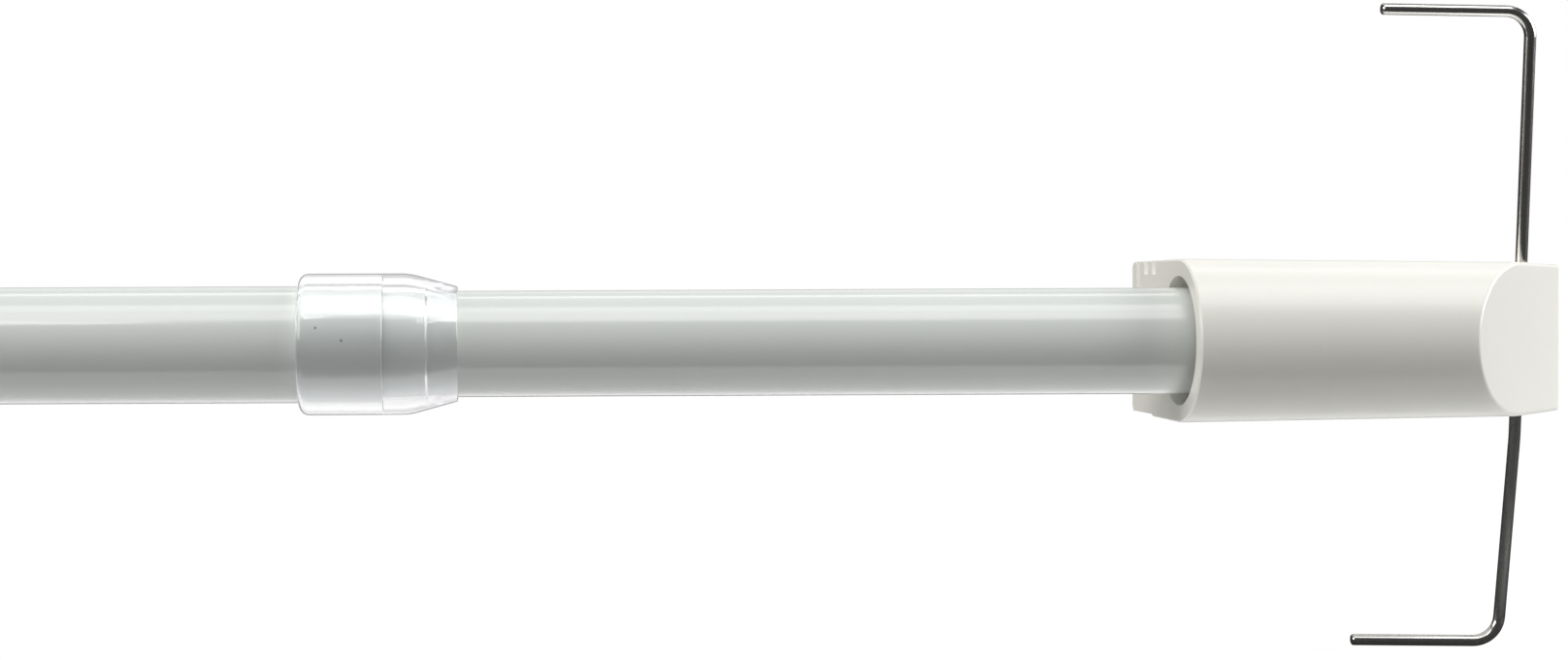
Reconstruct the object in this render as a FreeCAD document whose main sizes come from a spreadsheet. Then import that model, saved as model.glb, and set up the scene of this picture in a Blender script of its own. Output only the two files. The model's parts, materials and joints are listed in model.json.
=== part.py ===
import FreeCAD, Part
import Sketcher
import math
import os
import re

# Spring tension rod: two telescoping tubes between two moulded end blocks.
# X runs along the rod, Y to the back and Z up, from the centre of the left end face.

doc = FreeCAD.newDocument("tension_rod")
sheet = doc.addObject("Spreadsheet::Sheet", "Sizes")
working = doc.addObject("Spreadsheet::Sheet", "Working")
V = FreeCAD.Vector
# places nearer to each other than this are one
NEAR = 1e-3

SIZES = {
    # tubes
    "outer_diameter": 12.0,
    "outer_wall": 0.45,
    "outer_length": 250.0,
    "inner_diameter": 10.9,
    "inner_wall": 0.4,
    "inner_length": 230.0,
    "exposed_length": 74.0,
    # clear collar on the open end of the outer tube
    "collar_diameter": 14.5,
    "collar_length": 16.2,
    "collar_grip": 8.6,
    "collar_taper": 4.9,
    "collar_nose_diameter": 11.8,
    "collar_lip": 3.4,
    "collar_relief": 0.25,
    "collar_rounding": 0.9,
    # end block, a half-round front on a flat-sided back
    "block_length": 42.2,
    "block_radius": 8.4,
    "block_depth": 18.9,
    "block_draft": 0.6,
    "mouth_chamfer": 0.2,
    "side_draft": 0.15,
    "back_chamfer": 0.6,
    "bevel_length": 14.7,
    "bevel_depth": 7.6,
    "bevel_rounding": 0.35,
    "mouth_diameter": 13.3,
    "mouth_depth": 8.0,
    "seat_depth": 20.0,
    "seat_lead": 0.6,
    "groove_width": 1.5,
    "groove_height": 1.4,
    "deep_groove_height": 3.0,
    "groove_pitch": 3.2,
    "groove_count": 3,
    "groove_back_wall": 2.0,
    "lower_recess": 0.35,
    # bent wire bracket through the block
    "wire_diameter": 1.2,
    "wire_from_end": 4.9,
    "wire_behind_axis": 6.0,
    "wire_lean_angle": 5.2,
    "wire_rise": 34.0,
    "wire_drop": 32.4,
    "wire_arm": 15.5,
    "wire_bend": 2.7,
    "wire_upper_rise": 0.33,
    "wire_lower_rise": 0.2,
    "wire_kink_drop": 10.5,
    "wire_kink_bend": 14.0,
    "wire_splay": 1.0,
    "wire_tip_chamfer": 0.12,
    # lock and spring inside the tubes
    "screw_diameter": 4.0,
    "screw_overhang": 5.0,
    "screw_embedded": 12.0,
    "screw_chamfer": 0.4,
    "sleeve_length": 16.0,
    "sleeve_base": 3.0,
    "sleeve_root_radius": 3.2,
    "sleeve_mouth_radius": 4.75,
    "slot_width": 1.0,
    "slot_length": 11.0,
    "slot_count": 4,
    "nut_length": 8.0,
    "nut_inset": 1.0,
    "fin_length": 6.0,
    "stop_nut_flats": 8.0,
    "stop_nut_height": 3.0,
    "shaft_flats": 6.4,
    "shaft_flange_radius": 4.8,
    "shaft_flange_height": 2.0,
    "shaft_head_radius": 4.7,
    "shaft_head_height": 3.0,
    "spring_travel": 20.0,
    "travel_reserve": 2.0,
    "bush_length": 12.0,
    "bush_flange": 1.5,
    "spring_radius": 4.2,
    "spring_wire": 0.85,
    "spring_pitch": 6.4,
    "spring_turns": 5,
    "spring_stop_length": 8.0,
    "crimp_width": 1.6,
    "crimp_height": 0.35,
    # clearances, all on the radius or on one side
    "running_fit": 0.05,
    "press_gap": 0.02,
    "lock_fit": 0.03,
    "hole_fit": 0.05,
    "key_fit": 0.1,
}

for row, (alias, value) in enumerate(SIZES.items(), start=1):
    sheet.set("A%d" % row, alias)
    sheet.set("B%d" % row, str(value))
    sheet.setAlias("B%d" % row, alias)
doc.recompute()


def size(alias):
    """Value of one cell."""
    return float(sheet.get(alias))


def cells(expression):
    """Expression with the sheet's name before each alias."""
    return re.sub(r"\b(%s)\b" % "|".join(SIZES), r"Sizes.\1", expression)


def number(expression):
    """Value of an expression of aliases, worked out in a cell of its own sheet."""
    working.set("A1", "=" + cells(expression))
    working.recomputeCells("A1")
    return float(working.get("A1"))


# places along the rod, each from the pieces that stand before it
outer_left = "(block_length - seat_depth)"
outer_right = outer_left + " + outer_length"
collar_left = outer_right + " - collar_grip"
right_mouth = collar_left + " + collar_length + exposed_length"
inner_right = right_mouth + " + seat_depth"
inner_left = inner_right + " - inner_length"
shaft_left = inner_left + " - bush_flange - spring_travel - travel_reserve - shaft_flange_height"
head_left = inner_left + " + bush_length"
spring_left = head_left + " + shaft_head_height"
stop_left = spring_left + " + spring_pitch * spring_turns"
rod_back = "-(block_depth + bevel_depth) / 2"


def new_body(label, along, turned=None):
    """Empty body with its own place on the rod's axis."""
    body = doc.addObject("PartDesign::Body", label)
    body.Label = label
    if turned:
        body.Placement = FreeCAD.Placement(V(0, 0, 0), turned)
    body.setExpression(".Placement.Base.x", cells(along))
    body.setExpression(".Placement.Base.y", cells(rod_back))
    return body


def new_sketch(body, name, role, shift=None):
    """Sketch on one of the body's own planes, moved along that plane's normal."""
    sketch = body.newObject("Sketcher::SketchObject", name)
    plane = [item for item in body.Origin.OriginFeatures if item.Role == role][0]
    sketch.AttachmentSupport = [(plane, "")]
    sketch.MapMode = "FlatFace"
    if shift:
        sketch.setExpression("AttachmentOffset.Base.z", cells(shift))
    return sketch


def pin_point(sketch, geometry, position, x, y):
    """Hold one point of a sketch at two expressions, or on an axis."""
    if x == "0" and y == "0":
        sketch.addConstraint(Sketcher.Constraint("Coincident", geometry, position, -1, 1))
        return
    for kind, expression, axis in (("DistanceX", x, -2), ("DistanceY", y, -1)):
        if expression == "0":
            sketch.addConstraint(Sketcher.Constraint("PointOnObject", geometry, position, axis))
            continue
        value = number(expression)
        index = sketch.addConstraint(Sketcher.Constraint(kind, -1, 1, geometry, position, value))
        sketch.setExpression("Constraints[%d]" % index, cells(expression))


def outline(sketch, corners, closed=True):
    """Straight runs through the corners (x, y, rounding), each rounding an arc tangent to its two runs."""
    points = [V(number(x), number(y), 0) for x, y, _ in corners]
    count = len(points)
    starts, ends, arcs = {}, {}, {}
    for i in range(count):
        rounding = corners[i][2]
        if not rounding:
            starts[i] = ends[i] = points[i]
            continue
        back = (points[i - 1] - points[i]).normalize()
        ahead = (points[(i + 1) % count] - points[i]).normalize()
        half = back.getAngle(ahead) / 2
        radius = number(rounding)
        reach = radius / math.tan(half)
        ends[i] = points[i] + back * reach
        starts[i] = points[i] + ahead * reach
        middle = (back + ahead).normalize()
        centre = points[i] + middle * (radius / math.sin(half))
        arcs[i] = Part.Arc(ends[i], centre - middle * radius, starts[i])
    lines = {}
    for i in range(count if closed else count - 1):
        far = (i + 1) % count
        lines[i] = sketch.addGeometry(Part.LineSegment(starts[i], ends[far]), False)
    for i in range(count):
        before = lines.get((i - 1) % count if closed else i - 1)
        after = lines.get(i)
        if i in arcs:
            arc = sketch.addGeometry(arcs[i], False)
            corner = sketch.addGeometry(Part.Point(points[i]), True)
            first = 1 if same(sketch.getPoint(arc, 1), ends[i]) else 2
            sketch.addConstraint(Sketcher.Constraint("Tangent", before, 2, arc, first))
            sketch.addConstraint(Sketcher.Constraint("Tangent", after, 1, arc, 3 - first))
            index = sketch.addConstraint(Sketcher.Constraint("Radius", arc, number(corners[i][2])))
            sketch.setExpression("Constraints[%d]" % index, cells(corners[i][2]))
            sketch.addConstraint(Sketcher.Constraint("PointOnObject", corner, 1, before))
            sketch.addConstraint(Sketcher.Constraint("PointOnObject", corner, 1, after))
            pin_point(sketch, corner, 1, corners[i][0], corners[i][1])
            continue
        if before is not None and after is not None:
            sketch.addConstraint(Sketcher.Constraint("Coincident", before, 2, after, 1))
        if after is not None:
            pin_point(sketch, after, 1, corners[i][0], corners[i][1])
        else:
            pin_point(sketch, before, 2, corners[i][0], corners[i][1])


def same(a, b):
    """Whether two points are one."""
    return (V(a) - V(b)).Length < NEAR


def circle(sketch, x, y, radius):
    """Circle held at two expressions."""
    index = sketch.addGeometry(Part.Circle(V(number(x), number(y), 0), V(0, 0, 1), number(radius)), False)
    held = sketch.addConstraint(Sketcher.Constraint("Radius", index, number(radius)))
    sketch.setExpression("Constraints[%d]" % held, cells(radius))
    pin_point(sketch, index, 3, x, y)


def revolved(body, name, corners, kind="PartDesign::Revolution"):
    """Ring or bore turned from a closed outline about the rod's axis."""
    sketch = new_sketch(body, name + "_outline", "XY_Plane")
    outline(sketch, corners)
    turn = body.newObject(kind, name)
    turn.Profile = sketch
    turn.ReferenceAxis = (sketch, ["H_Axis"])
    turn.Angle = 360
    doc.recompute()
    return turn


def box_outline(x_low, x_high, y_low, y_high):
    """Four corners of a rectangle."""
    return [(x_low, y_low, None), (x_high, y_low, None), (x_high, y_high, None), (x_low, y_high, None)]


def hexagon(flats):
    """Six corners about the origin with two flats level."""
    corners = []
    for i in range(6):
        angle = math.radians(60 * i)
        reach = "(%s) / sqrt(3)" % flats
        corners.append(("%s * %.9f" % (reach, math.cos(angle)), "%s * %.9f" % (reach, math.sin(angle)), None))
    return corners


def extruded(body, name, role, corners, length, kind="PartDesign::Pad", shift=None, middle=False, back=False):
    """Pad or pocket of one closed outline."""
    sketch = new_sketch(body, name + "_outline", role, shift)
    outline(sketch, corners)
    return stretched(body, name, sketch, length, kind, middle, back)


def stretched(body, name, sketch, length, kind="PartDesign::Pad", middle=False, back=False):
    """Pad or pocket of a sketch."""
    feature = body.newObject(kind, name)
    feature.Profile = sketch
    feature.setExpression("Length", cells(length))
    feature.Midplane = middle
    feature.Reversed = back
    doc.recompute()
    return feature


def patterned(body, name, feature, axis, count):
    """Copies of one feature spaced round the rod's axis."""
    pattern = body.newObject("PartDesign::PolarPattern", name)
    pattern.Originals = [feature]
    pattern.Axis = axis
    pattern.Angle = 360
    pattern.setExpression("Occurrences", cells(count))
    body.Tip = pattern
    doc.recompute()
    return pattern


def dressed(body, name, feature, amount, chosen, kind="PartDesign::Fillet"):
    """Fillet or chamfer on the edges that the test picks."""
    edges = ["Edge%d" % (i + 1) for i, edge in enumerate(feature.Shape.Edges) if chosen(edge)]
    dress = body.newObject(kind, name)
    dress.Base = (feature, edges)
    dress.setExpression("Radius" if kind == "PartDesign::Fillet" else "Size", cells(amount))
    doc.recompute()
    return dress


# outer tube
outer_radius = "outer_diameter / 2"
outer_bore = "(outer_diameter / 2 - outer_wall)"
outer_tube = new_body("outer_tube", outer_left)
revolved(outer_tube, "tube_wall", box_outline("0", "outer_length", outer_bore, outer_radius))

# inner tube, its wall rolled in round the spring stop
inner_radius = "inner_diameter / 2"
inner_bore = "(inner_diameter / 2 - inner_wall)"
crimp_middle = "bush_length + shaft_head_height + spring_pitch * spring_turns + spring_stop_length / 2"
crimp_left = "(" + crimp_middle + " - crimp_width / 2)"
crimp_right = "(" + crimp_middle + " + crimp_width / 2)"


def crimped(radius, order):
    """Points of one side of the wall past the rolled groove."""
    level = [
        (crimp_left, radius, None),
        (crimp_left + " + crimp_height", radius + " - crimp_height", None),
        (crimp_right + " - crimp_height", radius + " - crimp_height", None),
        (crimp_right, radius, None),
    ]
    return level[::order]


inner_tube = new_body("inner_tube", inner_left)
revolved(
    inner_tube,
    "tube_wall",
    [("0", inner_bore, None)]
    + crimped(inner_bore, 1)
    + [("inner_length", inner_bore, None), ("inner_length", inner_radius, None)]
    + crimped(inner_radius, -1)
    + [("0", inner_radius, None)],
)

# clear collar: grips the outer tube, and its thin nose wipes the inner one
collar = new_body("clear_collar", collar_left)
grip_radius = "outer_diameter / 2 + press_gap"
lip_radius = "inner_diameter / 2 + running_fit"
lip_start = "collar_length - collar_lip"
revolved(
    collar,
    "collar_wall",
    [
        ("0", grip_radius, None),
        ("collar_grip", grip_radius, None),
        ("collar_grip", lip_radius + " + collar_relief", None),
        (lip_start, lip_radius + " + collar_relief", None),
        (lip_start, lip_radius, None),
        ("collar_length", lip_radius, None),
        ("collar_length", "collar_nose_diameter / 2", None),
        ("collar_length - collar_taper", "collar_diameter / 2", "collar_rounding"),
        ("0", "collar_diameter / 2", "collar_rounding"),
    ],
)


def block_section(body, name, radius, shift=None):
    """Half-round front and flat sides, drawn at one place along the block."""
    sketch = new_sketch(body, name, "YZ_Plane", shift)
    half = number(radius)
    back_depth = "(block_depth + back_chamfer)"
    back_half = "(%s - side_draft - 2 * back_chamfer)" % radius
    front = sketch.addGeometry(Part.Arc(V(0, half, 0), V(-half, 0, 0), V(0, -half, 0)), False)
    inset = "(block_depth - back_chamfer)"
    side = "(%s - side_draft * %s / block_depth)" % (radius, inset)
    low = V(number(inset), -number(side), 0)
    high = V(number(inset), number(side), 0)
    back_low = V(number(back_depth), -number(back_half), 0)
    back_high = V(number(back_depth), number(back_half), 0)
    bottom = sketch.addGeometry(Part.LineSegment(V(0, -half, 0), low), False)
    lower_cut = sketch.addGeometry(Part.LineSegment(low, back_low), False)
    back = sketch.addGeometry(Part.LineSegment(back_low, back_high), False)
    upper_cut = sketch.addGeometry(Part.LineSegment(back_high, high), False)
    top = sketch.addGeometry(Part.LineSegment(high, V(0, half, 0)), False)
    first = 1 if same(sketch.getPoint(front, 1), V(0, -half, 0)) else 2
    sketch.addConstraint(Sketcher.Constraint("Coincident", front, 3, -1, 1))
    sketch.addConstraint(Sketcher.Constraint("Coincident", front, first, bottom, 1))
    sketch.addConstraint(Sketcher.Constraint("Coincident", bottom, 2, lower_cut, 1))
    sketch.addConstraint(Sketcher.Constraint("Coincident", lower_cut, 2, back, 1))
    sketch.addConstraint(Sketcher.Constraint("Coincident", back, 2, upper_cut, 1))
    sketch.addConstraint(Sketcher.Constraint("Coincident", upper_cut, 2, top, 1))
    sketch.addConstraint(Sketcher.Constraint("Coincident", top, 2, front, 3 - first))
    pin_point(sketch, bottom, 1, "0", "-(%s)" % radius)
    sketch.addConstraint(Sketcher.Constraint("PointOnObject", top, 2, -2))
    pin_point(sketch, bottom, 2, inset, "-" + side)
    pin_point(sketch, top, 1, inset, side)
    pin_point(sketch, back, 1, back_depth, "-" + back_half)
    pin_point(sketch, back, 2, back_depth, back_half)
    return sketch


def end_block(label, along, turned, tube_diameter):
    """Moulded block: stepped bore for the tube, bevelled nose, grooved sides and the wire's hole."""
    body = new_body(label, along, turned)
    loft = body.newObject("PartDesign::AdditiveLoft", "block_form")
    loft.Profile = block_section(body, "mouth_section", "block_radius")
    loft.Sections = [block_section(body, "end_section", "(block_radius - block_draft)", "block_length")]
    loft.Ruled = True
    doc.recompute()
    clear = "block_radius"
    through = "4 * block_radius"
    extruded(
        body,
        "flat_back",
        "XY_Plane",
        box_outline("-" + clear, "block_length + " + clear, "block_depth", "block_depth + " + clear),
        through,
        kind="PartDesign::Pocket",
        middle=True,
    )
    bevel_start = "(block_length - bevel_length)"
    bevel_run = "(bevel_length / (bevel_depth + block_radius))"
    bevel = extruded(
        body,
        "bevel",
        "XY_Plane",
        [
            ("%s - %s * %s" % (bevel_start, bevel_run, clear), "-block_radius - " + clear, None),
            ("block_length + %s * %s" % (bevel_run, clear), "bevel_depth + " + clear, None),
            ("block_length + %s * %s" % (bevel_run, clear), "-block_radius - " + clear, None),
        ],
        through,
        kind="PartDesign::Pocket",
        middle=True,
    )
    end = size("block_length")
    start = number(bevel_start)
    lean = number(bevel_run)
    front = size("block_radius")

    def on_nose(edge):
        """Whether an edge bounds the bevel or the end face."""
        in_bevel = all(abs(v.X - start - lean * (v.Y + front)) < NEAR for v in edge.Vertexes)
        at_end = all(abs(v.X - end) < NEAR for v in edge.Vertexes)
        return in_bevel or at_end

    def on_mouth(edge):
        """Whether an edge bounds the mouth's face."""
        return all(abs(v.X) < NEAR for v in edge.Vertexes)

    nose = dressed(body, "nose_edges", bevel, "bevel_rounding", on_nose)
    dressed(body, "mouth_edges", nose, "mouth_chamfer", on_mouth, kind="PartDesign::Chamfer")
    seat_radius = "(%s / 2 + running_fit)" % tube_diameter
    revolved(
        body,
        "stepped_bore",
        [
            ("0", "0", None),
            ("0", "mouth_diameter / 2", None),
            ("mouth_depth", "mouth_diameter / 2", None),
            ("mouth_depth", seat_radius + " + seat_lead / 2", None),
            ("mouth_depth + seat_lead", seat_radius, None),
            ("seat_depth", seat_radius, None),
            ("seat_depth", "0", None),
        ],
        kind="PartDesign::Groove",
    )
    groove_far = "(block_depth - groove_back_wall)"
    groove_near = "(block_depth - groove_back_wall - groove_width)"
    side_top = "(block_radius + groove_height)"
    floor = "(block_radius - side_draft - groove_height)"
    grooved = new_sketch(body, "groove_outline", "YZ_Plane")
    outline(grooved, box_outline(groove_near, groove_far, floor, side_top))
    groove = stretched(body, "groove", grooved, "block_length", kind="PartDesign::Pocket", back=True)
    rows = body.newObject("PartDesign::LinearPattern", "groove_rows")
    rows.Originals = [groove]
    rows.Direction = (grooved, ["H_Axis"])
    rows.Reversed = True
    rows.setExpression("Length", cells("groove_pitch * (groove_count - 1)"))
    rows.setExpression("Occurrences", cells("groove_count"))
    body.Tip = rows
    doc.recompute()
    deep_floor = "(block_radius - side_draft - deep_groove_height)"
    deepened = new_sketch(body, "deep_groove_outline", "YZ_Plane")
    outline(deepened, box_outline(groove_near, groove_far, deep_floor, side_top))
    stretched(body, "deep_groove", deepened, "block_length", kind="PartDesign::Pocket", back=True)
    recess_near = "(block_depth - groove_back_wall - groove_pitch * (groove_count - 1))"
    recess_top = "-(block_radius - lower_recess)"
    recess = box_outline(recess_near, "block_depth + " + clear, "-block_radius - " + clear, recess_top)
    extruded(body, "lower_recess", "YZ_Plane", recess, "block_length", kind="PartDesign::Pocket", back=True)
    hole = new_sketch(body, "wire_hole_outline", "XY_Plane")
    hole.AttachmentOffset = FreeCAD.Placement(V(0, 0, 0), FreeCAD.Rotation(V(1, 0, 0), size("wire_lean_angle")))
    hole.setExpression("AttachmentOffset.Base.x", cells("block_length - wire_from_end"))
    hole.setExpression("AttachmentOffset.Base.y", cells("wire_behind_axis"))
    circle(hole, "0", "0", "wire_diameter / 2 + hole_fit")
    stretched(body, "wire_hole", hole, through, kind="PartDesign::Pocket", middle=True)
    return body


half_turn = FreeCAD.Rotation(V(0, 1, 0), 180)
end_block("left_end_block", "block_length", half_turn, "outer_diameter")
end_block("right_end_block", right_mouth, None, "inner_diameter")


def wire_bracket(label, along, across, turned):
    """Wire bent to a bracket, its shaft on the body's own Z axis."""
    body = doc.addObject("PartDesign::Body", label)
    body.Label = label
    path = new_sketch(body, "wire_path", "XZ_Plane")
    splay = "-wire_splay"
    tip = "-wire_arm"
    outline(
        path,
        [
            (tip, "wire_rise + wire_upper_rise", None),
            ("0", "wire_rise", "wire_bend"),
            ("0", "-wire_kink_drop", "wire_kink_bend"),
            (splay, "-wire_drop", "wire_bend"),
            (splay + " + " + tip, "-wire_drop + wire_lower_rise", None),
        ],
        closed=False,
    )
    ring = new_sketch(body, "wire_section", "YZ_Plane", tip)
    circle(ring, "0", "wire_rise + wire_upper_rise", "wire_diameter / 2")
    pipe = body.newObject("PartDesign::AdditivePipe", "bent_wire")
    pipe.Profile = ring
    pipe.Spine = path
    pipe.Transition = 0
    doc.recompute()
    tips = [
        V(number(tip), 0, number("wire_rise + wire_upper_rise")),
        V(number(splay + " + " + tip), 0, number("-wire_drop + wire_lower_rise")),
    ]

    def at_tip(edge):
        """Whether an edge is the rim of one of the two ends."""
        return any(same(edge.CenterOfMass, place) for place in tips)

    dressed(body, "tip_edges", pipe, "wire_tip_chamfer", at_tip, kind="PartDesign::Chamfer")
    lean = FreeCAD.Rotation(V(1, 0, 0), size("wire_lean_angle"))
    body.Placement = FreeCAD.Placement(V(0, 0, 0), turned.multiply(lean) if turned else lean)
    body.setExpression(".Placement.Base.x", cells(along))
    body.setExpression(".Placement.Base.y", cells(across))
    return body


wire_across = rod_back + " + wire_behind_axis"
wire_bracket("left_wire_bracket", "wire_from_end", wire_across, half_turn)
wire_bracket("right_wire_bracket", right_mouth + " + block_length - wire_from_end", wire_across, None)

# slotted sleeve that the cone spreads against the outer tube's bore
sleeve = new_body("expander_sleeve", shaft_left)
sleeve_outer = "(outer_diameter / 2 - outer_wall - lock_fit)"
screw_hole = "screw_diameter / 2 + key_fit"
revolved(
    sleeve,
    "sleeve_wall",
    [
        ("0", screw_hole, None),
        ("0", sleeve_outer, None),
        ("-sleeve_length", sleeve_outer, None),
        ("-sleeve_length", "sleeve_mouth_radius", None),
        ("-sleeve_base", "sleeve_root_radius", None),
        ("-sleeve_base", screw_hole, None),
    ],
)
slot = extruded(
    sleeve,
    "slot",
    "XY_Plane",
    box_outline("-sleeve_length", "-sleeve_length + slot_length", "-slot_width / 2", "slot_width / 2"),
    "outer_diameter",
    kind="PartDesign::Pocket",
    back=True,
)
sleeve_axis = [item for item in sleeve.Origin.OriginFeatures if item.Role == "X_Axis"][0]
patterned(sleeve, "slots", slot, (sleeve_axis, [""]), "slot_count")

# cone nut, keyed to the sleeve's slots
nut = new_body("cone_nut", shaft_left)
taper = "((sleeve_mouth_radius - sleeve_root_radius) / (sleeve_length - sleeve_base))"
nut_left = "(sleeve_length - nut_inset)"
nut_right = "(sleeve_length - nut_inset - nut_length)"
wide = "(sleeve_root_radius + %s * (%s - sleeve_base) - lock_fit)" % (taper, nut_left)
narrow = "(sleeve_root_radius + %s * (%s - sleeve_base) - lock_fit)" % (taper, nut_right)
nut_bore = "screw_diameter / 2 + running_fit"
revolved(
    nut,
    "cone",
    [
        ("-" + nut_left, nut_bore, None),
        ("-" + nut_left, wide, None),
        ("-" + nut_right, narrow, None),
        ("-" + nut_right, nut_bore, None),
    ],
)
fin = extruded(
    nut,
    "fin",
    "XY_Plane",
    box_outline(
        "-" + nut_left,
        "-" + nut_left + " + fin_length",
        nut_bore + " + key_fit",
        sleeve_outer + " - key_fit",
    ),
    "slot_width - key_fit",
    middle=True,
)
nut_axis = [item for item in nut.Origin.OriginFeatures if item.Role == "X_Axis"][0]
patterned(nut, "fins", fin, (nut_axis, [""]), "slot_count")

# lock screw and its end nut
screw = new_body("lock_screw", shaft_left)
screw_end = "(sleeve_length + screw_overhang)"
revolved(
    screw,
    "screw_shank",
    [
        ("-" + screw_end, "0", None),
        ("-" + screw_end, "screw_diameter / 2 - screw_chamfer", None),
        ("-" + screw_end + " + screw_chamfer", "screw_diameter / 2", None),
        ("screw_embedded", "screw_diameter / 2", None),
        ("screw_embedded", "0", None),
    ],
)
stop_nut = new_body("screw_stop_nut", shaft_left)
extruded(stop_nut, "hexagon", "YZ_Plane", hexagon("stop_nut_flats"), "stop_nut_height", shift="-" + screw_end)
bore = new_sketch(stop_nut, "bore_outline", "YZ_Plane", "-" + screw_end)
circle(bore, "0", "0", "screw_diameter / 2 + press_gap")
stretched(stop_nut, "bore", bore, "stop_nut_height", kind="PartDesign::Pocket", back=True)

# keyed plunger shaft between the lock and the spring
shaft = new_body("plunger_shaft", shaft_left)
shaft_right = "(shaft_flange_height + spring_travel + travel_reserve + bush_flange + bush_length)"
extruded(shaft, "keyed_shaft", "YZ_Plane", hexagon("shaft_flats"), shaft_right + " + shaft_head_height")
flange = new_sketch(shaft, "flange_outline", "YZ_Plane")
circle(flange, "0", "0", "shaft_flange_radius")
stretched(shaft, "flange", flange, "shaft_flange_height")
head = new_sketch(shaft, "head_outline", "YZ_Plane", shaft_right)
circle(head, "0", "0", "shaft_head_radius")
stretched(shaft, "head", head, "shaft_head_height")
socket = new_sketch(shaft, "socket_outline", "YZ_Plane")
circle(socket, "0", "0", "screw_diameter / 2 + press_gap")
stretched(shaft, "socket", socket, "screw_embedded", kind="PartDesign::Pocket", back=True)

# guide bush in the inner tube's end
bush = new_body("guide_bush", inner_left)
revolved(
    bush,
    "bush_body",
    [
        ("-bush_flange", "0", None),
        ("-bush_flange", "inner_diameter / 2", None),
        ("0", "inner_diameter / 2", None),
        ("0", inner_bore + " - press_gap", None),
        ("bush_length", inner_bore + " - press_gap", None),
        ("bush_length", "0", None),
    ],
)
extruded(
    bush,
    "keyed_hole",
    "YZ_Plane",
    hexagon("shaft_flats + 2 * key_fit"),
    "bush_flange + bush_length",
    kind="PartDesign::Pocket",
    shift="-bush_flange",
    back=True,
)

# spring stop, held by the rolled groove
stop = new_body("spring_stop", stop_left)
stop_radius = inner_bore + " - running_fit"
stop_groove_left = "(spring_stop_length / 2 - crimp_width / 2 - running_fit)"
stop_groove_right = "(spring_stop_length / 2 + crimp_width / 2 + running_fit)"
stop_groove = stop_radius + " - crimp_height"
revolved(
    stop,
    "stop_body",
    [
        ("0", "0", None),
        ("0", stop_radius, None),
        (stop_groove_left, stop_radius, None),
        (stop_groove_left + " + crimp_height", stop_groove, None),
        (stop_groove_right + " - crimp_height", stop_groove, None),
        (stop_groove_right, stop_radius, None),
        ("spring_stop_length", stop_radius, None),
        ("spring_stop_length", "0", None),
    ],
)

# push spring, wound past its ends and ground flat
coil = doc.addObject("Part::Helix", "spring_coil")
coil.setExpression("Pitch", cells("spring_pitch"))
coil.setExpression("Height", cells("spring_pitch * (spring_turns + 1)"))
coil.setExpression("Radius", cells("spring_radius"))
coil.setExpression(".Placement.Base.z", cells("-spring_pitch / 2"))
section = doc.addObject("Part::Circle", "spring_section")
section.setExpression("Radius", cells("spring_wire / 2"))
# the wire's section is square to its run
lead_angle = math.degrees(math.atan(number("spring_pitch / (2 * pi * spring_radius)")))
section.Placement = FreeCAD.Placement(V(0, 0, 0), FreeCAD.Rotation(V(1, 0, 0), 90 + lead_angle))
section.setExpression(".Placement.Base.x", cells("spring_radius"))
section.setExpression(".Placement.Base.z", cells("-spring_pitch / 2"))
winding = doc.addObject("Part::Sweep", "spring_winding")
winding.Sections = [section]
winding.Spine = (coil, ["Edge1"])
winding.Solid = True
winding.Frenet = True
ground = doc.addObject("Part::Cylinder", "spring_room")
ground.setExpression("Radius", cells("spring_radius + spring_wire"))
ground.setExpression("Height", cells("spring_pitch * spring_turns"))
spring = doc.addObject("Part::Common", "push_spring")
spring.Base = winding
spring.Tool = ground
spring.Placement = FreeCAD.Placement(V(0, 0, 0), FreeCAD.Rotation(V(0, 1, 0), 90))
spring.setExpression(".Placement.Base.x", cells(spring_left))
spring.setExpression(".Placement.Base.y", cells(rod_back))
doc.recompute()

PIECES = [item for item in doc.Objects if item.TypeId == "PartDesign::Body"] + [spring]
for item in doc.Objects:
    if "Invalid" in item.State or "Error" in item.State:
        raise RuntimeError("failed: %s (%s)" % (item.Label, item.State))
os.makedirs("parts", exist_ok=True)
for piece in PIECES:
    if piece.Shape.isNull() or not piece.Shape.isValid() or not piece.Shape.Solids:
        raise RuntimeError("bad shape: " + piece.Label)
for piece in PIECES:
    piece.Shape.exportStep("parts/%s.step" % piece.Label)
    box = piece.Shape.BoundBox
    print("%-20s x %.2f..%.2f  y %.2f..%.2f  z %.2f..%.2f  solids %d  volume %.1f" % (
        piece.Label, box.XMin, box.XMax, box.YMin, box.YMax, box.ZMin, box.ZMax,
        len(piece.Shape.Solids), piece.Shape.Volume))
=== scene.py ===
import json
import math

import bmesh
import bpy
from mathutils import Matrix, Vector


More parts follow.
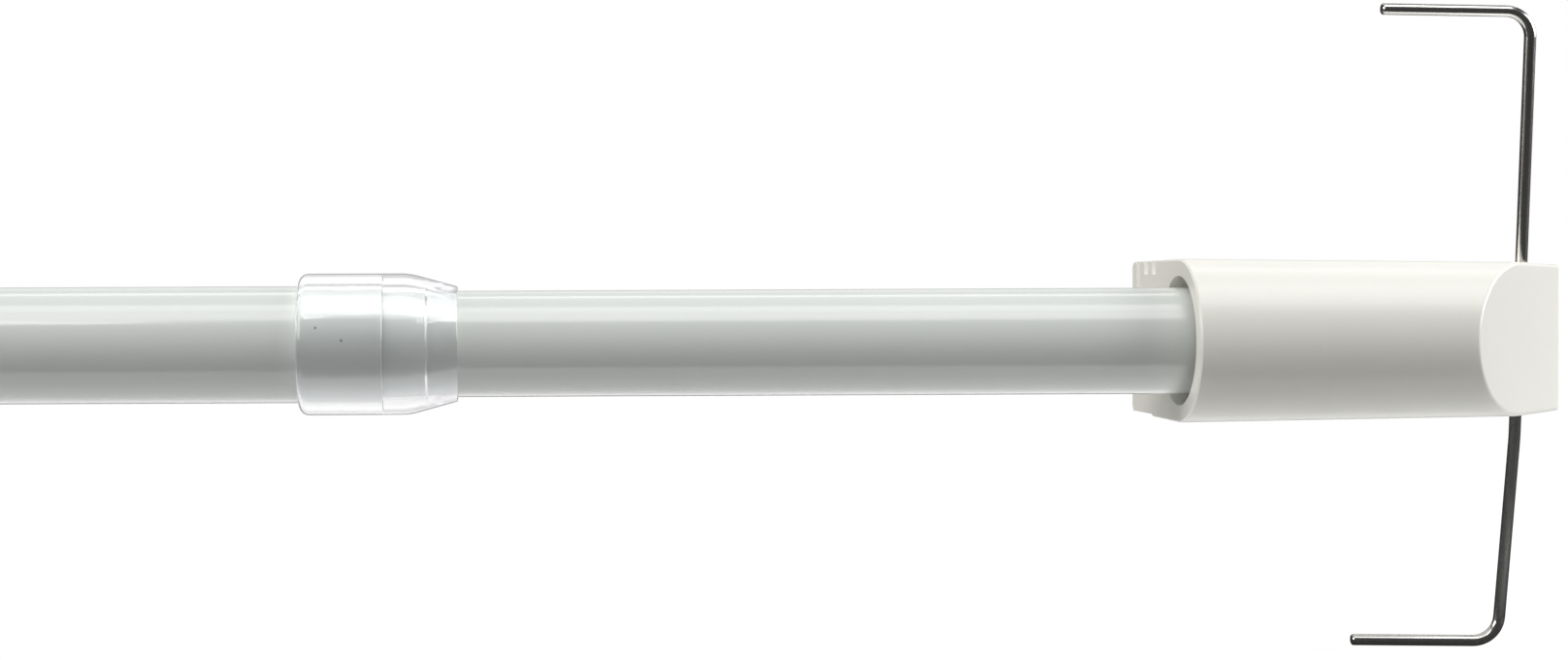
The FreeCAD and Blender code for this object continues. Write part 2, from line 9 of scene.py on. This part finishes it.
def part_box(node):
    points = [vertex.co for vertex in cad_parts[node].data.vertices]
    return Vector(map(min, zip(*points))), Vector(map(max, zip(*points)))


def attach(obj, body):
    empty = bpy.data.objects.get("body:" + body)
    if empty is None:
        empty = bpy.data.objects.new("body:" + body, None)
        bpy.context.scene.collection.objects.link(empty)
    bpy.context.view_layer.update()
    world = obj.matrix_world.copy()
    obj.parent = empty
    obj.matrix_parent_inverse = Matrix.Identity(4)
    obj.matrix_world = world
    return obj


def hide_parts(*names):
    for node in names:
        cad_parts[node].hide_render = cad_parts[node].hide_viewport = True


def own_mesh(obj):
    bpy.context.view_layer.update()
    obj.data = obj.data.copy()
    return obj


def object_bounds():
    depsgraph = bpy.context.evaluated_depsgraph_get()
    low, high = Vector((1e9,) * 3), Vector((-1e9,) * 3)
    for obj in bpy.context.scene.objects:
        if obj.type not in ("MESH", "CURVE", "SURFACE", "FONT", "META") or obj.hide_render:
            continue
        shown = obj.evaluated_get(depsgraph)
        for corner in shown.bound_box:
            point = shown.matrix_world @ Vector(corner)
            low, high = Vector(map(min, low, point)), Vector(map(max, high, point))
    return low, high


# Spring tension rod: finishes, clear collar, thread, spring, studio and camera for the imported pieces.
# Lengths are metres in the rod's own frame: X along the rod, Y to its back, Z up.

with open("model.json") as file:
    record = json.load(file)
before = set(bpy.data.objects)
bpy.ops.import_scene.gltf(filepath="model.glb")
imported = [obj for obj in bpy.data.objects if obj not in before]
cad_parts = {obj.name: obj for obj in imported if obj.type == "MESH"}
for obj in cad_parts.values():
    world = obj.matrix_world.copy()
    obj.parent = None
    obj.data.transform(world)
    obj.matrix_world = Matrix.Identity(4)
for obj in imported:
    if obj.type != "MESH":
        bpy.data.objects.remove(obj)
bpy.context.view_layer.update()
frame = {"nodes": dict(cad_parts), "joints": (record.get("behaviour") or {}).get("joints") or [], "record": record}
nodes = frame["nodes"]

# camera, from the photograph's framing
PICTURE_WIDTH = 1616
FOCAL_PIXELS = 2650
CENTRE_PIXEL = 498
SENSOR_WIDTH = 36.0
CAMERA_PLACE = (0.28245, -0.27715, 0.00598)
CAMERA_DIP = 0.0173
CAMERA_ROLL = 0.0045

# clear collar and lock screw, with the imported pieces' sizes
ROD_AXIS = (0.0, -0.01325, 0.0)
COLLAR_GRIP = 0.0086
COLLAR_TAPER = 0.0049
COLLAR_LIP = 0.0034
COLLAR_RELIEF = 0.00025
COLLAR_GRIP_RADIUS = 0.00602
COLLAR_LIP_RADIUS = 0.0055
COLLAR_NOSE_RADIUS = 0.0059
COLLAR_SIDES = 128
THREAD_PITCH = 0.0007
THREAD_SIDES = 24

# roundings of the collar's moulded edges, and the points along each
EDGE_ROUND = 0.0001
STEP_ROUND = 0.00008
STEP_FOOT_ROUND = 0.00006
MOUTH_ROUND = 0.0002
LIP_ROUND = 0.00005
SHOULDER_ROUND = 0.007
BACK_ROUND = 0.0009
ROUND_STEPS = 5

# section of a metric thread: its depth and, along one turn, where its flanks start and end, in pitches
THREAD_DEPTH = 0.6134
FLANK_START = 0.25
CREST_START = 0.5625
CREST_END = 0.6875

# meshes: points closer than this are one, and edges bent further than this are sharp
MERGE_DISTANCE = 1e-7
SHARP_BEND = math.radians(32)

# small specks in the paint under the collar
PAINT_SPECKS = ((0.2656, -0.0190, 0.0017), (0.2682, -0.0192, 0.0005))
SPECK_SIZE = 0.00018
SPECK_FADE = 0.00012

# studio: the lamps' aim, the left lamp's tint, the room's level in scattered light and the floor's size
ROD_MIDDLE = Vector((0.25, -0.013, 0.0))
WARM_WHITE = (1.0, 0.95, 0.9)
ROOM_LEVEL = 0.066
FLOOR_GAP = 0.0002
FLOOR_RADIUS = 12.0
FLOOR_SIDES = 96

# the floor as the camera sees it: close by it takes shadows, and past FAR_START it turns plain white
NEAR_GREY = 0.3
NEAR_GLOW = 0.78
THROUGH_GLOW = 0.5
FAR_START = 0.3
FAR_FADE = 0.6

# the floor in scattered and mirrored light: a pale sheet from SHEET_FRONT back, which glows as painted light, and
# a dark strip before it, painted shade on the lower fronts of the pieces and in their reflections
PAINTED_SHADE_GREY = 0.05
SHEET_GREY = 0.7
SHEET_FRONT = -0.046
SHEET_FADE = 0.006
PAINTED_SHEET_GLOW = 0.02
PAINTED_REFLECTION_GLOW = 0.78

# gloss mirrors the sheet only where its rays are neither too long nor too short and don't graze it; elsewhere it
# mirrors the dark strip, painted shade in the reflections
REFLECTED_REACH = 0.11
REFLECTED_FADE = 0.03
ARM_REACH = 0.011
ARM_FADE = 0.015
GRAZING = 0.3
GRAZING_FADE = 0.15

# clear plastic: rays that bounce on inside it go straight out, and what it mirrors loses some white
GUIDED_BOUNCES = 3.0
MIRRORED_LOSS = 0.28


class Value:
    """One output of a node, with arithmetic that adds Math nodes."""

    def __init__(self, recipe, socket):
        self.recipe = recipe
        self.socket = socket

    def math(self, operation, *operands):
        sockets = dict(enumerate(operands))
        return self.recipe.add("ShaderNodeMath", {"operation": operation}, sockets)

    def __add__(self, other):
        return self.math("ADD", self, other)

    def __radd__(self, other):
        return self.math("ADD", other, self)

    def __sub__(self, other):
        return self.math("SUBTRACT", self, other)

    def __rsub__(self, other):
        return self.math("SUBTRACT", other, self)

    def __mul__(self, other):
        return self.math("MULTIPLY", self, other)

    def __rmul__(self, other):
        return self.math("MULTIPLY", other, self)

    def __truediv__(self, other):
        return self.math("DIVIDE", self, other)

    def __rtruediv__(self, other):
        return self.math("DIVIDE", other, self)

    def held(self):
        """The value kept between 0 and 1."""
        return self.recipe.add("ShaderNodeClamp", {}, {"Value": self})


class Recipe:
    """The nodes of one finish, or of the world."""

    def __init__(self, owner):
        owner.use_nodes = True
        self.tree = owner.node_tree
        self.tree.nodes.clear()

    def add(self, kind, settings, sockets, output=0):
        """A node of any kind, its settings first and then its sockets."""
        node = self.tree.nodes.new(kind)
        for name, value in settings.items():
            setattr(node, name, value)
        for key, value in sockets.items():
            if isinstance(value, Value):
                self.tree.links.new(value.socket, node.inputs[key])
            else:
                node.inputs[key].default_value = value
        return Value(self, node.outputs[output]) if len(node.outputs) else None

    def place(self):
        """Object coordinates."""
        return self.add("ShaderNodeTexCoord", {}, {}, "Object")

    def stretched(self, where, scale):
        """Coordinates scaled along each axis."""
        return self.add("ShaderNodeMapping", {}, {"Vector": where, "Scale": scale})

    def noise(self, where, scale, detail=2.0):
        """Soft noise from 0 to 1."""
        sockets = {"Vector": where, "Scale": scale, "Detail": detail}
        return self.add("ShaderNodeTexNoise", {}, sockets, "Fac")

    def mixed_colour(self, share, low, high):
        """A colour between two, by a share from 0 to 1."""
        return self.add("ShaderNodeMix", {"data_type": "RGBA"}, {0: share, 6: low, 7: high}, 2)

    def speck(self, where, centre):
        """1 inside a small speck round a point, 0 outside it."""
        apart = self.add("ShaderNodeVectorMath", {"operation": "DISTANCE"}, {0: where, 1: centre}, "Value")
        return ((SPECK_SIZE - apart) / SPECK_FADE).held()

    def ray(self, output):
        """What Cycles says of the ray that meets the surface."""
        return self.add("ShaderNodeLightPath", {}, {}, output)

    def seen(self):
        """1 for the camera's rays, less for those mirrored in clear plastic, 0 for scattered light."""
        through = self.ray("Transmission Depth").held() * (1.0 - self.ray("Diffuse Depth").held())
        through = through * (1.0 - MIRRORED_LOSS * self.ray("Glossy Depth").held())
        return (self.ray("Is Camera Ray") + through).held()

    def bump(self, height, depth, strength=1.0):
        """Normal that a height from 0 to 1 tilts, its depth in metres."""
        sockets = {"Height": height, "Distance": depth, "Strength": strength}
        return self.add("ShaderNodeBump", {}, sockets, "Normal")

    def surface(self, sockets):
        """Principled surface to the output."""
        self.output(self.add("ShaderNodeBsdfPrincipled", {}, sockets))

    def output(self, shader):
        """The shader that the finish shows."""
        self.add("ShaderNodeOutputMaterial", {}, {"Surface": shader})

    def blend(self, share, first, second):
        """A shader between two, by a share from 0 to 1."""
        return self.add("ShaderNodeMixShader", {}, {"Fac": share, 1: first, 2: second})

    def matt(self, grey):
        """Dull grey."""
        return self.add("ShaderNodeBsdfDiffuse", {}, {"Color": (grey, grey, grey, 1.0)})

    def glow(self, strength):
        """White light of its own."""
        return self.add("ShaderNodeEmission", {}, {"Strength": strength})

    def shining(self, shader, strength):
        """A shader with a glow added to it."""
        return self.add("ShaderNodeAddShader", {}, {0: shader, 1: self.glow(strength)})


def material(name):
    """New material and its recipe."""
    finish = bpy.data.materials.new(name)
    return finish, Recipe(finish)


def white_enamel():
    """Gloss enamel on the tubes: faint clouding and a very fine orange peel."""
    finish, recipe = material("white_enamel")
    where = recipe.place()
    cloud = recipe.noise(where, 70.0)
    drawn = recipe.noise(recipe.stretched(where, (6.0, 700.0, 700.0)), 1.0)
    peel = recipe.noise(where, 1300.0)
    colour = recipe.mixed_colour(cloud, (0.72, 0.755, 0.73, 1.0), (0.75, 0.78, 0.755, 1.0))
    for centre in PAINT_SPECKS:
        colour = recipe.mixed_colour(recipe.speck(where, centre), colour, (0.24, 0.23, 0.21, 1.0))
    recipe.surface({
        "Base Color": colour,
        "Roughness": 0.17 + drawn * 0.06,
        "Coat Weight": 0.4,
        "Coat Roughness": 0.05,
        "Normal": recipe.bump(peel, 4e-6),
    })
    return finish


def block_plastic():
    """Satin moulded end block: warm off-white with a fine mould grain."""
    finish, recipe = material("block_plastic")
    where = recipe.place()
    mottle = recipe.noise(where, 110.0, 3.0)
    grain = recipe.noise(where, 4200.0)
    # the roughness stays above 0.275, because the denoiser leaves patches where it crosses that
    recipe.surface({
        "Base Color": recipe.mixed_colour(mottle, (0.865, 0.86, 0.80, 1.0), (0.89, 0.885, 0.835, 1.0)),
        "Roughness": 0.277 + mottle * 0.03,
        "Subsurface Weight": 0.15,
        "Subsurface Radius": (1.0, 0.9, 0.75),
        "Subsurface Scale": 0.0015,
        "Normal": recipe.bump(grain, 5e-6),
    })
    return finish


def clear_plastic():
    """Clear moulded collar."""
    finish, recipe = material("clear_plastic")
    where = recipe.place()
    haze = recipe.noise(where, 500.0, 3.0)
    flow = recipe.noise(recipe.stretched(where, (60.0, 260.0, 260.0)), 1.0)
    glass = recipe.add("ShaderNodeBsdfPrincipled", {}, {
        "Base Color": recipe.mixed_colour(haze, (0.96, 0.97, 0.97, 1.0), (0.99, 0.995, 0.995, 1.0)),
        "Roughness": 0.05 + haze * 0.06,
        "IOR": 1.49,
        "Transmission Weight": 1.0,
        "Normal": recipe.bump(flow, 2e-5, 0.5),
    })
    lamp_ray = recipe.ray("Is Shadow Ray")
    guided = (recipe.ray("Ray Depth") - GUIDED_BOUNCES).held() * (1.0 - lamp_ray)
    let_out = recipe.add("ShaderNodeBsdfTransparent", {}, {"Color": (0.84, 0.83, 0.86, 1.0)})
    let_through = recipe.add("ShaderNodeBsdfTransparent", {}, {"Color": (0.61, 0.62, 0.62, 1.0)})
    recipe.output(recipe.blend(lamp_ray, recipe.blend(guided, glass, let_out), let_through))
    return finish


def bright_wire():
    """Bright plated wire with drawing lines along it."""
    finish, recipe = material("bright_wire")
    where = recipe.place()
    along_shaft = recipe.noise(recipe.stretched(where, (2600.0, 2600.0, 50.0)), 1.0)
    tone = recipe.noise(where, 160.0)
    recipe.surface({
        "Base Color": recipe.mixed_colour(tone, (0.60, 0.585, 0.56, 1.0), (0.70, 0.69, 0.67, 1.0)),
        "Metallic": 1.0,
        "Roughness": 0.14 + along_shaft * 0.1,
        "Normal": recipe.bump(along_shaft, 3e-6),
    })
    return finish


def lock_plastic():
    """Natural moulded plastic of the inner pieces."""
    finish, recipe = material("lock_plastic")
    where = recipe.place()
    milk = recipe.noise(where, 240.0, 3.0)
    grain = recipe.noise(where, 3000.0)
    recipe.surface({
        "Base Color": recipe.mixed_colour(milk, (0.80, 0.79, 0.73, 1.0), (0.86, 0.85, 0.80, 1.0)),
        "Roughness": 0.4 + milk * 0.12,
        "Normal": recipe.bump(grain, 6e-6),
    })
    return finish


def zinc_steel():
    """Zinc plating with the faint bloom of its passivated coat."""
    finish, recipe = material("zinc_steel")
    where = recipe.place()
    bloom = recipe.noise(where, 380.0, 3.0)
    recipe.surface({
        "Base Color": recipe.mixed_colour(bloom, (0.60, 0.60, 0.57, 1.0), (0.66, 0.68, 0.72, 1.0)),
        "Metallic": 1.0,
        "Roughness": 0.28 + bloom * 0.14,
        "Normal": recipe.bump(bloom, 5e-6),
    })
    return finish


def spring_steel():
    """Drawn and blued spring wire."""
    finish, recipe = material("spring_steel")
    where = recipe.place()
    tone = recipe.noise(where, 300.0, 3.0)
    recipe.surface({
        "Base Color": recipe.mixed_colour(tone, (0.36, 0.36, 0.38, 1.0), (0.48, 0.48, 0.50, 1.0)),
        "Metallic": 1.0,
        "Roughness": 0.24 + tone * 0.14,
        "Normal": recipe.bump(tone, 4e-6),
    })
    return finish


def dress():
    """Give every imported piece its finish."""
    finishes = {
        "white_enamel": white_enamel(),
        "block_plastic": block_plastic(),
        "clear_plastic": clear_plastic(),
        "bright_wire": bright_wire(),
        "lock_plastic": lock_plastic(),
        "zinc_steel": zinc_steel(),
        "spring_steel": spring_steel(),
    }
    for part in frame["record"]["subparts"]:
        slots = nodes[part["node"]].data.materials
        slots.clear()
        slots.append(finishes[part["material_slot"]])
    return finishes


def rounded(corners):
    """Points of a section, its corners given as (along, radius, rounding)."""
    points = []
    for index, (along, radius, rounding) in enumerate(corners):
        corner = Vector((along, radius))
        before = (Vector(corners[index - 1][:2]) - corner).normalized()
        after = (Vector(corners[(index + 1) % len(corners)][:2]) - corner).normalized()
        half = before.angle(after) / 2
        centre = corner + (before + after).normalized() * rounding / math.sin(half)
        start = corner + before * rounding / math.tan(half) - centre
        end = corner + after * rounding / math.tan(half) - centre
        for step in range(ROUND_STEPS + 1):
            points.append(centre + start.lerp(end, step / ROUND_STEPS).normalized() * rounding)
    return points


def piece(name, form, finishes, slot, body, stands_for):
    """The finished mesh of a new piece, in place of a packed one."""
    bmesh.ops.recalc_face_normals(form, faces=form.faces)
    mesh = bpy.data.meshes.new(name)
    form.to_mesh(mesh)
    form.free()
    mesh.shade_smooth()
    mesh.set_sharp_from_angle(angle=SHARP_BEND)
    mesh.materials.append(finishes[slot])
    obj = bpy.data.objects.new(name, mesh)
    bpy.context.scene.collection.objects.link(obj)
    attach(obj, body)
    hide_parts(stands_for)
    return obj


def build_collar(finishes):
    """Clear collar with its moulded edges, its step and its lip."""
    low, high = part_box("clear_collar")
    left, right = low.x, high.x
    outer = (high.z - low.z) / 2
    shoulder = right - COLLAR_TAPER
    step = left + COLLAR_GRIP
    lip = right - COLLAR_LIP
    relief = COLLAR_LIP_RADIUS + COLLAR_RELIEF
    section = rounded([
        (left, COLLAR_GRIP_RADIUS, MOUTH_ROUND),
        (step, COLLAR_GRIP_RADIUS, STEP_ROUND),
        (step, relief, STEP_FOOT_ROUND),
        (lip, relief, EDGE_ROUND),
        (lip + COLLAR_RELIEF, COLLAR_LIP_RADIUS, EDGE_ROUND),
        (right, COLLAR_LIP_RADIUS, LIP_ROUND),
        (right, COLLAR_NOSE_RADIUS, EDGE_ROUND),
        (shoulder, outer, SHOULDER_ROUND),
        (left, outer, BACK_ROUND),
    ])
    form = bmesh.new()
    corners = [form.verts.new((along, 0.0, radius)) for along, radius in section]
    sides = [form.edges.new((a, b)) for a, b in zip(corners, corners[1:] + corners[:1])]
    bmesh.ops.spin(
        form, geom=corners + sides, cent=(0, 0, 0), axis=(1, 0, 0), dvec=(0, 0, 0),
        angle=2 * math.pi, steps=COLLAR_SIDES, use_merge=True, use_duplicate=False,
    )
    bmesh.ops.translate(form, verts=form.verts, vec=ROD_AXIS)
    piece("collar_moulding", form, finishes, "clear_plastic", "outer", "clear_collar")


def build_thread(finishes):
    """Metric thread of the lock screw, swept along it, on its core."""
    low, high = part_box("lock_screw")
    crest = (high.z - low.z) / 2
    root = crest - THREAD_DEPTH * THREAD_PITCH
    turns = int((high.x - low.x) / THREAD_PITCH) - 1
    form = bmesh.new()
    ridge = ((0.0, root), (FLANK_START, root), (CREST_START, crest), (CREST_END, crest), (1.0, root))
    start = [form.verts.new((low.x + share * THREAD_PITCH, 0.0, radius)) for share, radius in ridge]
    sides = [form.edges.new(pair) for pair in zip(start, start[1:])]
    form.faces.new(start[1:])
    swept = bmesh.ops.spin(
        form, geom=start + sides, cent=(0, 0, 0), axis=(1, 0, 0), dvec=(THREAD_PITCH / THREAD_SIDES, 0, 0),
        angle=2 * math.pi * turns, steps=THREAD_SIDES * turns, use_merge=False, use_duplicate=False,
    )
    last = sorted((v for v in swept["geom_last"] if isinstance(v, bmesh.types.BMVert)), key=lambda v: v.co.x)
    form.faces.new(last[1:])
    bmesh.ops.remove_doubles(form, verts=form.verts, dist=MERGE_DISTANCE)
    core = bmesh.ops.create_cone(
        form, cap_ends=True, segments=THREAD_SIDES, radius1=root, radius2=root, depth=high.x - low.x,
    )["verts"]
    bmesh.ops.rotate(form, verts=core, cent=(0, 0, 0), matrix=Matrix.Rotation(math.pi / 2, 3, "Y"))
    bmesh.ops.translate(form, verts=core, vec=((low.x + high.x) / 2, 0, 0))
    bmesh.ops.translate(form, verts=form.verts, vec=ROD_AXIS)
    piece("lock_screw_thread", form, finishes, "zinc_steel", "plunger", "lock_screw")


def build_spring(finishes):
    """Push spring, which shortens against its stop as the rod is pushed in: here the packed coil with doubled
    points merged, on a mesh of its own; the push joint's travel is read, but the coil is not made shorter.
    """
    low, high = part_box("push_spring")
    push = next(joint for joint in frame["joints"] if joint["name"] == "spring_push")
    travel = -min(push["range_m"])
    form = bmesh.new()
    form.from_mesh(nodes["push_spring"].data)
    bmesh.ops.remove_doubles(form, verts=form.verts, dist=MERGE_DISTANCE)
    spring = piece("push_spring_coil", form, finishes, "spring_steel", "inner", "push_spring")
    pushed_share = 1 - travel / (high.x - low.x)
    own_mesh(spring)


def build_camera():
    """Camera at the photograph's angle, its window moved to the right as in the photograph."""
    data = bpy.data.cameras.new("camera")
    data.sensor_width = SENSOR_WIDTH
    data.lens = SENSOR_WIDTH * FOCAL_PIXELS / PICTURE_WIDTH
    data.shift_x = (PICTURE_WIDTH / 2 - CENTRE_PIXEL) / PICTURE_WIDTH
    data.clip_start = 0.01
    data.clip_end = 50.0
    camera = bpy.data.objects.new("camera", data)
    camera.location = CAMERA_PLACE
    camera.rotation_euler = (math.pi / 2 - CAMERA_DIP, CAMERA_ROLL, 0.0)
    bpy.context.scene.collection.objects.link(camera)
    bpy.context.scene.camera = camera


def softbox(name, toward, distance, width, depth, radiance):
    """Area lamp in a direction from the middle of the rod, facing it."""
    back = Vector(toward).normalized()
    data = bpy.data.lights.new(name, "AREA")
    data.shape = "RECTANGLE"
    data.size = width
    data.size_y = depth
    data.energy = radiance * math.pi * width * depth
    lamp = bpy.data.objects.new(name, data)
    lamp.location = ROD_MIDDLE + back * distance
    lamp.rotation_mode = "QUATERNION"
    lamp.rotation_quaternion = back.to_track_quat("Z", "Y")
    lamp.visible_camera = False
    bpy.context.scene.collection.objects.link(lamp)
    return data


def overhead(elevation):
    """Direction over the rod, in degrees up from the camera's side and past the top at 90."""
    angle = math.radians(elevation)
    return (0.0, -math.cos(angle), math.sin(angle))


def build_lamps():
    """Softboxes over the rod in rows from front to back, one strip, and one softbox towards each end."""
    softbox("front_softbox", overhead(77.0), distance=1.1, width=1.6, depth=0.35, radiance=2.65)
    softbox("low_softbox", overhead(58.0), distance=1.1, width=1.6, depth=0.33, radiance=3.0)
    softbox("front_strip", (-0.42, -0.61, 0.8), distance=1.2, width=0.7, depth=0.12, radiance=6.5)
    softbox("top_softbox", overhead(121.0), distance=1.1, width=1.8, depth=0.16, radiance=2.0)
    softbox("back_softbox", overhead(152.0), distance=1.1, width=1.8, depth=0.5, radiance=0.6)
    softbox("right_softbox", (1.0, -0.06, 0.31), distance=1.0, width=0.7, depth=0.4, radiance=8.3)
    left = softbox("left_softbox", (-0.95, -0.15, 0.3), distance=1.0, width=0.7, depth=0.4, radiance=4.9)
    left.color = WARM_WHITE


def pale_floor():
    """White to the camera; to scattered and mirrored light, a glowing pale sheet of painted light behind a dark
    strip of painted shade.
    """
    finish, recipe = material("pale_floor")
    finish.cycles.emission_sampling = "NONE"
    where = recipe.place()

    apart = recipe.add("ShaderNodeSeparateXYZ", {}, {"Vector": where}, "Y")
    sheet = ((apart - SHEET_FRONT) / SHEET_FADE).held()
    reach = recipe.ray("Ray Length")
    not_long = ((REFLECTED_REACH - reach) / REFLECTED_FADE).held()
    not_short = ((reach - ARM_REACH) / ARM_FADE).held()
    steep = 1.0 - recipe.add("ShaderNodeLayerWeight", {}, {"Blend": 0.5}, "Facing")
    not_grazing = ((steep - GRAZING) / GRAZING_FADE).held()
    gloss_ray = recipe.ray("Is Glossy Ray")
    lit = sheet * (1.0 - gloss_ray * (1.0 - not_long * not_short * not_grazing))
    # painted light: the sheet glows a little in scattered light and strongly in mirrored rays, a painted
    # reflection in the tubes, the block and the wire
    scattering = recipe.shining(recipe.matt(SHEET_GREY), PAINTED_SHEET_GLOW)
    mirrored = recipe.shining(recipe.matt(SHEET_GREY), PAINTED_REFLECTION_GLOW)
    # painted shade: scattered rays before SHEET_FRONT, and mirrored rays that miss the sheet, meet a dark strip
    unseen = recipe.blend(lit, recipe.matt(PAINTED_SHADE_GREY), recipe.blend(gloss_ray, scattering, mirrored))

    away = recipe.add("ShaderNodeVectorMath", {"operation": "LENGTH"}, {0: where}, "Value")
    far = ((away - FAR_START) / FAR_FADE).held()
    direct = recipe.shining(recipe.matt(NEAR_GREY), NEAR_GLOW)
    through = recipe.shining(recipe.matt(NEAR_GREY), THROUGH_GLOW)
    close = recipe.blend(recipe.ray("Is Camera Ray"), through, direct)
    shown = recipe.blend(far, close, recipe.glow(1.0))

    recipe.output(recipe.blend(recipe.seen(), unseen, shown))
    return finish


def build_floor():
    """Round floor just under the wire brackets."""
    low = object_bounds()[0].z - FLOOR_GAP
    form = bmesh.new()
    bmesh.ops.create_circle(form, cap_ends=True, segments=FLOOR_SIDES, radius=FLOOR_RADIUS)
    bmesh.ops.translate(form, verts=form.verts, vec=(ROD_MIDDLE.x, 0.0, low))
    mesh = bpy.data.meshes.new("floor")
    form.to_mesh(mesh)
    form.free()
    mesh.materials.append(pale_floor())
    floor = bpy.data.objects.new("floor", mesh)
    bpy.context.scene.collection.objects.link(floor)


def build_world():
    """White to the camera and through clear plastic, and dim in reflections."""
    world = bpy.data.worlds.new("studio")
    bpy.context.scene.world = world
    recipe = Recipe(world)
    white = (1.0, 1.0, 1.0, 1.0)
    room = recipe.add("ShaderNodeBackground", {}, {"Color": white, "Strength": ROOM_LEVEL})
    back = recipe.add("ShaderNodeBackground", {}, {"Color": white, "Strength": 1.0})
    recipe.add("ShaderNodeOutputWorld", {}, {"Surface": recipe.blend(recipe.seen(), room, back)})


build_camera()
finishes = dress()
build_collar(finishes)
build_thread(finishes)
build_spring(finishes)
build_floor()
build_world()
build_lamps()
bpy.context.scene.view_settings.view_transform = "Standard"
